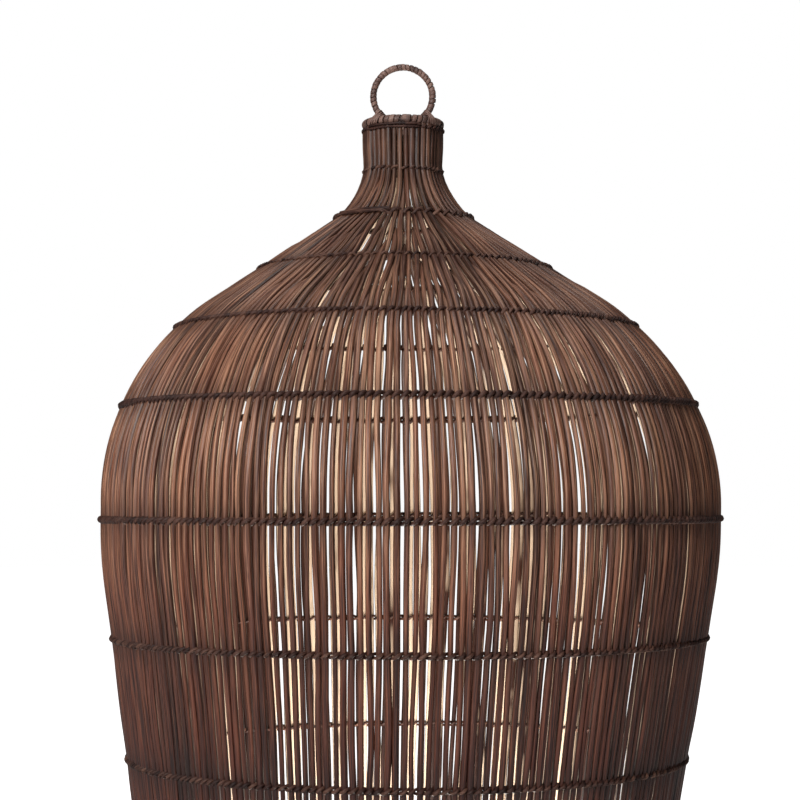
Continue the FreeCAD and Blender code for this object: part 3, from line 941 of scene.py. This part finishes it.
def add_core(name, centre, ring_radius, core, axis, body, node):
    """The round cane inside a wound hoop."""
    steps = 96
    around = np.linspace(0, TAU, steps, endpoint=False)
    path = np.array(centre) + hoop_way(around, axis)[0] * ring_radius
    values = {"along": around * ring_radius}
    # held 1 paints shade over the whole cane, which lies under the strip
    for key, value in {"stock": core, "tone": 0.4, "held": 1.0, "tint": 0.4}.items():
        values[key] = np.full(steps, value)
    mesh = lines_mesh(name, [path], True, values)
    piece = made_by_tree(name, mesh, round_stock_tree(), Sides=10, Material=rod_finish())
    stand_for(piece, body, "cane", node)


# radius of the cane inside a wound hoop against the frame's, so that the strip covers it
CANE_SHARE = 0.98


class WICKER_OT_rim(bpy.types.Operator):
    """Make the rim hoop and the strip wound over it"""

    bl_idname = "wicker.rim"
    bl_label = "Bound rim"

    def execute(self, context):
        s = settings("strip")
        core = thickness("rim_hoop") / 2
        centre = middle("rim_hoop")
        radius = half_width("rim_hoop") - core
        binding = wound_strip("rim_binding_strip", centre, radius, core, s.rim_turns, s.thickness, "z", 0.04, 3)
        stand_for(binding, SHADE, "strip", "rim_binding")
        add_core("rim_hoop_cane", centre, radius, core * CANE_SHARE, "z", SHADE, "rim_hoop")
        return {"FINISHED"}


class WICKER_OT_ring(bpy.types.Operator):
    """Make the hanging ring and the strip wound over it"""

    bl_idname = "wicker.ring"
    bl_label = "Hanging ring"

    def execute(self, context):
        s = settings("strip")
        low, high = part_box("ring_core")
        core = (high.y - low.y) / 2
        centre = (low + high) / 2
        radius = (high.x - low.x) / 2 - core
        wrap = wound_strip("ring_strip", centre, radius, core, s.ring_turns, s.thickness, "y", 0.03, 5)
        stand_for(wrap, RING, "strip", "ring_wrap")
        add_core("ring_cane", centre, radius, core * CANE_SHARE, "y", RING, "ring_core")
        return {"FINISHED"}


def on_rim(centre, radius, turn):
    turn = np.asarray(turn)
    return np.stack([radius * np.sin(turn), -radius * np.cos(turn), 0 * turn], axis=-1) + np.array(centre)


def on_ring(centre, radius, turn):
    turn = np.asarray(turn)
    return np.stack([radius * np.sin(turn), 0 * turn, -radius * np.cos(turn)], axis=-1) + np.array(centre)


def nearest_turns(rim_centre, rim_radius, ring_centre, ring_radius):
    """The angles, right of the middle, where the rim hoop's and the ring's middle lines come nearest."""
    rim_turns, ring_turns = np.linspace(0.2, 1.4, 240), np.linspace(0.2, 1.5, 240)
    rim, ring = on_rim(rim_centre, rim_radius, rim_turns), on_ring(ring_centre, ring_radius, ring_turns)
    gap = np.linalg.norm(rim[:, None] - ring[None], axis=2)
    i, j = np.unravel_index(gap.argmin(), gap.shape)
    return float(rim_turns[i]), float(ring_turns[j])


def belt_path(a, radius_a, b, radius_b, normal, steps=14):
    """Middle line and outward direction of a strip stretched round two rounds."""
    along = b - a
    span = np.linalg.norm(along)
    along = along / span
    across = np.cross(normal, along)
    lean = math.asin((radius_a - radius_b) / span)
    points, outward = [], []
    for centre, radius, first, last in (
        (b, radius_b, math.pi / 2 - lean, -(math.pi / 2 - lean)),
        (a, radius_a, -(math.pi / 2 - lean), -(3 * math.pi / 2 + lean)),
    ):
        for swing in np.linspace(first, last, steps):
            direction = along * math.cos(swing) + across * math.sin(swing)
            points.append(centre + direction * radius)
            outward.append(direction)
    return np.array(points), np.array(outward)


class WICKER_OT_lashings(bpy.types.Operator):
    """Make the two lashings that tie the ring to the rim"""

    bl_idname = "wicker.lashings"
    bl_label = "Lashings"

    def execute(self, context):
        s = settings("strip")
        material = strip_finish()
        rim_centre, rim_core = middle("rim_binding"), thickness("rim_binding") / 2
        rim_radius = half_width("rim_binding") - rim_core
        low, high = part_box("ring_wrap")
        ring_core, ring_centre = (high.y - low.y) / 2, (low + high) / 2
        ring_radius = (high.x - low.x) / 2 - ring_core
        rim_turn, ring_turn = nearest_turns(rim_centre, rim_radius, ring_centre, ring_radius)
        wall = s.thickness
        for side, sign, node, tilt in (("right", 1.0, "right_lashing", 0.3), ("left", -1.0, "left_lashing", 0.55)):
            turns = []
            mirror = np.array([sign, 1.0, 1.0])
            for turn in range(s.lash_turns):
                swing = ring_turn + (turn - (s.lash_turns - 1) / 2) * s.lash_pitch / ring_radius
                b = on_ring(ring_centre, ring_radius, swing)
                ring_way = np.array([math.cos(swing), 0.0, math.sin(swing)])
                rim_way = np.array([math.cos(rim_turn), math.sin(rim_turn), 0.0])
                normal = ring_way * tilt + rim_way * (1 - tilt)
                normal /= np.linalg.norm(normal)
                near = rim_turn + np.linspace(-0.7, 0.7, 561)
                spots = on_rim(rim_centre, rim_radius, near)
                a = spots[np.abs((spots - b) @ normal).argmin()]
                path, outward = belt_path(a, rim_core * 1.1 + wall / 2, b, ring_core * 1.12 + wall / 2, normal)
                sideways = np.tile(normal * mirror, (len(path), 1))
                halves = np.full(len(path), s.lash_width / 2)
                path, outward, tone = path * mirror, outward * mirror, turn * 0.23
                turns.append(strip_mesh("turn", path, outward, sideways, halves, wall, True, tone, material))
            piece = joined(side + "_lashing_strip", turns)
            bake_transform(piece)
            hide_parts(node)
        return {"FINISHED"}


# ---- foot ----------------------------------------------------------------------------------------------


class WICKER_OT_foot(bpy.types.Operator):
    """Make the two foot hoops and the tacks that hold them"""

    bl_idname = "wicker.foot"
    bl_label = "Foot hoops and tacks"

    def execute(self, context):
        self.hoop("foot_outer_hoop", 1.0, 2)
        self.hoop("foot_inner_hoop", -1.0, 4)
        self.tacks()
        return {"FINISHED"}

    def hoop(self, node, side, seed):
        """Half-round split cane, its flat side against the rods, with the two ends scarfed."""
        s = settings("foot")
        low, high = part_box(node)
        tall, wall = high.z - low.z, s.wall
        outer = (high.x - low.x) / 2
        face = outer - wall if side > 0 else outer
        random = np.random.default_rng(seed)
        steps = 360
        start = random.uniform(0, TAU)
        turn = start + np.linspace(0, TAU + s.scarf, steps)
        ease = np.minimum((turn - start) / s.scarf, 1.0)
        fade = np.minimum((turn[-1] - turn) / s.scarf, 1.0)
        tip = 0.08
        thick = np.minimum(ease, fade) * (1 - tip) + tip
        under = wall * (1 - fade) * (1 - tip)
        section = self.section(s.edge / tall, s.edge / wall)
        points = np.zeros((steps, len(section), 3))
        sway = 0.15 * MM * smooth_noise(random, 1, turn - start, 0.4)[0]
        for index, (u, v) in enumerate(section):
            radius = face + side * (under + v * wall * thick * 0.97) + sway * (v > 0.5)
            z = low.z + u * tall + (u >= 0.5) * sway
            points[:, index] = np.stack([radius * np.sin(turn), -radius * np.cos(turn), z], axis=1)
        across = np.tile([u for u, v in section], steps)
        mesh = swept_mesh(node + "_cane", points, turn * outer, across, 0.5, False, hoop_finish())
        stand_for(joined(node + "_cane", [mesh]), SHADE, "hoop", node)

    def section(self, edge_u, edge_v):
        """A rectangle with two rounded outer edges, as shares of height and wall."""
        swings = [math.pi / 2 * step / 4 for step in range(5)]
        bend = [(math.cos(swing), math.sin(swing)) for swing in swings]
        far = [(1 - edge_u + edge_u * c, 1 - edge_v + edge_v * s) for c, s in bend]
        near = [(edge_u - edge_u * s, 1 - edge_v + edge_v * c) for c, s in bend]
        return [(0.0, 0.0), (1.0, 0.0), *far, *near]

    def tacks(self):
        """Domed heads on pins, spaced evenly round the outer hoop at the CAD tacks' height."""
        s = settings("foot")
        low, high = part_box("foot_tacks")
        height = (low.z + high.z) / 2
        outer = half_width("foot_outer_hoop")
        inner = half_width("foot_inner_hoop") - s.wall
        count = s.tacks
        turn = np.arange(count) * TAU / count
        spots = np.stack([outer * np.sin(turn), -outer * np.cos(turn), np.full(count, height)], axis=1)
        mesh = bpy.data.meshes.new("tack_spots")
        mesh.from_pydata(spots.tolist(), [], [])
        facing = mesh.attributes.new("facing", "FLOAT_VECTOR", "POINT")
        facing.data.foreach_set("vector", np.stack([np.sin(turn), -np.cos(turn), 0 * turn], axis=1).ravel())
        sizes = {"Head": s.tack_head, "Pin": s.tack_pin, "Reach": outer - inner}
        piece = made_by_tree("foot_tack_heads", mesh, tack_tree(), Material=steel_finish(), **sizes)
        stand_for(piece, SHADE, "tack", "foot_tacks")


def tack_tree():
    """A domed head and a pin at every point, turned to face outwards."""
    t = PieceTree("Tacks on points", Head="Float", Pin="Float", Reach="Float")
    ball = t.node("MeshUVSphere", {"Segments": 12, "Rings": 6, "Radius": t.given("Head")})
    dome = t.node("Transform", {"Geometry": ball, "Scale": (1.0, 1.0, 0.45)})
    pin = t.node("MeshCylinder", {"Vertices": 8, "Radius": t.given("Pin"), "Depth": t.given("Reach")})
    inwards = t.node("ShaderNodeCombineXYZ", {"Z": t.given("Reach") * -0.5})
    seated = t.node("Transform", {"Geometry": pin, "Translation": inwards})
    tack = t.node("JoinGeometry", {"Geometry": dome})
    t.feed(tack.socket.node.inputs["Geometry"], seated)
    facing = t.node("FunctionNodeAlignEulerToVector", {"Vector": t.named("facing", "FLOAT_VECTOR")}, axis="Z")
    spots = {"Points": t.given("Geometry"), "Instance": tack, "Rotation": facing}
    real = t.node("RealizeInstances", {"Geometry": t.node("InstanceOnPoints", spots)})
    return t.finished(t.node("SetShadeSmooth", {"Geometry": real}))


# ---- stage ---------------------------------------------------------------------------------------------


class WICKER_OT_stage(bpy.types.Operator):
    """Make the floor, the lights and the camera"""

    bl_idname = "wicker.stage"
    bl_label = "Stage"

    def execute(self, context):
        s = settings("stage")
        scene = context.scene
        scene.view_settings.view_transform = "Standard"
        self.floor()
        world = bpy.data.worlds.new("white_surroundings")
        world.use_nodes = True
        self.surroundings(world.node_tree, s.world)
        scene.world = world
        aim = Vector((0, 0, 0.4))
        self.light("key_light", (-1.05, -2.1, 1.3), aim, 0.8, s.key)
        self.light("top_light", (0.1, -0.3, 2.4), aim, 1.0, s.top)
        self.light("inner_light", (0.0, 0.0, 0.03), Vector((0, 0.02, 0.5)), 0.3, s.inner, (1.0, 0.95, 0.88))
        camera = bpy.data.objects.new("camera", bpy.data.cameras.new("camera"))
        camera.data.lens = s.lens
        camera.data.clip_start = 0.05
        camera.location = (-s.aside, -s.distance, s.height)
        camera.rotation_euler = (math.pi / 2 + s.tilt, 0.0, 0.0)
        scene.collection.objects.link(camera)
        scene.camera = camera
        return {"FINISHED"}

    def surroundings(self, tree, strength):
        """White to look at, and softer as a light, so that the weave keeps its shadows."""
        seen, given = tree.nodes["Background"], tree.nodes.new("ShaderNodeBackground")
        path, choice = tree.nodes.new("ShaderNodeLightPath"), tree.nodes.new("ShaderNodeMixShader")
        seen.inputs["Color"].default_value = (1.0, 1.0, 1.0, 1.0)
        given.inputs["Color"].default_value = (1.0, 0.99, 0.98, 1.0)
        given.inputs["Strength"].default_value = strength
        tree.links.new(path.outputs["Is Camera Ray"], choice.inputs[0])
        tree.links.new(given.outputs[0], choice.inputs[1])
        tree.links.new(seen.outputs[0], choice.inputs[2])
        tree.links.new(choice.outputs[0], tree.nodes["World Output"].inputs["Surface"])

    def light(self, name, place, aim, size, power, tint=(1.0, 1.0, 1.0)):
        data = bpy.data.lights.new(name, "AREA")
        data.color = tint
        data.shape = "DISK"
        data.size = size
        data.energy = power
        lamp = bpy.data.objects.new(name, data)
        lamp.location = place
        lamp.rotation_euler = (aim - Vector(place)).to_track_quat("-Z", "Y").to_euler()
        lamp.visible_camera = False
        bpy.context.scene.collection.objects.link(lamp)

    def floor(self):
        steps, reach, below = 64, 9, 0.5 * MM
        turns = [TAU * k / steps for k in range(steps)]
        rim = [(reach * math.cos(turn), reach * math.sin(turn), -below) for turn in turns]
        mesh = bpy.data.meshes.new("floor")
        mesh.from_pydata(rim, [], [tuple(range(steps))])
        mesh.materials.append(floor_finish())
        add_object("floor", mesh)


# ---- panel and run -------------------------------------------------------------------------------------

MAKERS = (
    WICKER_OT_rods,
    WICKER_OT_rows,
    WICKER_OT_rim,
    WICKER_OT_ring,
    WICKER_OT_lashings,
    WICKER_OT_foot,
    WICKER_OT_stage,
)


class WICKER_PT_panel(bpy.types.Panel):
    """Lists the shade's pieces"""

    bl_idname = "WICKER_PT_panel"
    bl_label = "Wicker shade"
    bl_space_type = "VIEW_3D"
    bl_region_type = "UI"
    bl_category = "Wicker shade"

    def draw(self, context):
        for maker in MAKERS:
            self.layout.operator(maker.bl_idname)


CLASSES = (*SETTINGS.values(), *MAKERS, WICKER_PT_panel)


def register():
    for cls in CLASSES:
        bpy.utils.register_class(cls)
    for name, cls in SETTINGS.items():
        setattr(bpy.types.Scene, name, PointerProperty(type=cls))


def unregister():
    for name in SETTINGS:
        delattr(bpy.types.Scene, name)
    for cls in reversed(CLASSES):
        bpy.utils.unregister_class(cls)


def main():
    register()
    for maker in MAKERS:
        group, name = maker.bl_idname.split(".")
        getattr(getattr(bpy.ops, group), name)()


if __name__ == "__main__":
    main()
